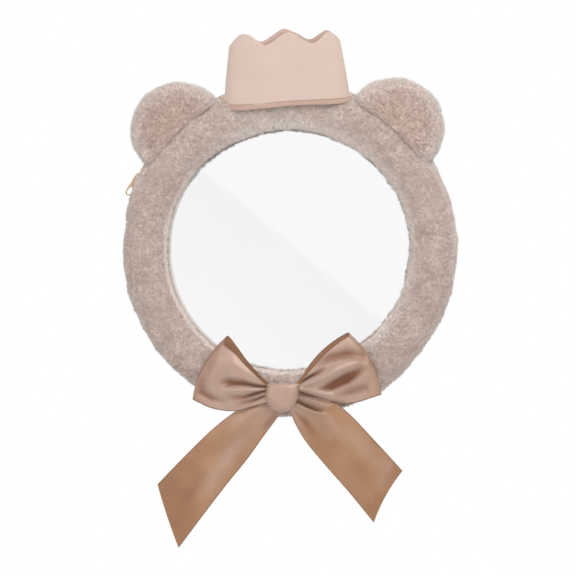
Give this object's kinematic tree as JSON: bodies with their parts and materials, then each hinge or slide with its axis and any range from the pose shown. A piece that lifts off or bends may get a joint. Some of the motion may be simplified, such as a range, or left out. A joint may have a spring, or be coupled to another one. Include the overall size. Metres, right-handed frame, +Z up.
{
  "type": "plush bear-ear wall mirror",
  "caption": "Round mirror in a stuffed sherpa ring with round bear ears, a soft felt crown, a satin ribbon bow and a zipped side.",
  "frame": {"origin": "centre of the ring on the plane of its flat back", "axes": "+Z up the object as it hangs, -Y out of the mirror towards the viewer, +X to the viewer's right"},
  "size_m": [0.3348, 0.067, 0.5226],
  "materials": {
    "sherpa": "curly sherpa fleece, short soft pile",
    "filling": "loose polyester fibre filling",
    "mirror": "silvered float glass",
    "bezel_plastic": "cream, smooth",
    "board": "thin fibreboard",
    "adhesive_foam": "double-sided foam tape",
    "back_felt": "smooth pressed felt",
    "zip_tape": "woven tape and moulded teeth",
    "gold_metal": "pale gold plating, polished",
    "crown_felt": "soft brushed felt",
    "satin": "satin ribbon"
  },
  "bodies": {
    "body": {"front_cover": "sherpa", "back_cover": "sherpa", "gusset": "sherpa", "stuffing_ring": "filling", "mirror_glass": "mirror", "mirror_bezel": "bezel_plastic", "adhesive_ring": "adhesive_foam", "backing_board": "board", "back_panel": "back_felt", "zip_tape_front": "zip_tape", "zip_tape_back": "zip_tape", "zip_teeth_front": "zip_tape", "zip_teeth_back": "zip_tape", "zip_top_stop": "gold_metal", "zip_bottom_stop": "gold_metal", "left_ear_front": "sherpa", "left_ear_back": "sherpa", "left_ear_stuffing": "filling", "right_ear_front": "sherpa", "right_ear_back": "sherpa", "right_ear_stuffing": "filling", "crown_wall": "crown_felt", "crown_lining": "crown_felt", "crown_hem": "crown_felt", "bow_loop_left": "satin", "bow_loop_right": "satin", "bow_tail_left": "satin", "bow_tail_right": "satin", "bow_knot": "satin", "bow_pad": "back_felt", "hanger_tab": "zip_tape"},
    "zip_slider": {"zip_slider": "gold_metal"},
    "zip_pull": {"zip_pull_link": "gold_metal", "zip_pull_tab": "gold_metal"},
    "hanger_ring": {"hanger_ring": "gold_metal"}
  },
  "joints": [
    {"name": "zip_travel", "type": "hinge", "parent": "body", "child": "zip_slider", "pos_m": [0, -0.0134, 0], "axis": [0, -1, 0], "range_deg": [0, 128]},
    {"name": "pull_swing", "type": "hinge", "parent": "zip_slider", "child": "zip_pull", "pos_m": [-0.15005, -0.0134, 0.07875], "axis": [0, 1, 0], "range_deg": [0, 105]},
    {"name": "hanger_swing", "type": "hinge", "parent": "body", "child": "hanger_ring", "pos_m": [0, -0.0019, 0.143], "axis": [1, 0, 0], "range_deg": [0, 175]}
  ]
}
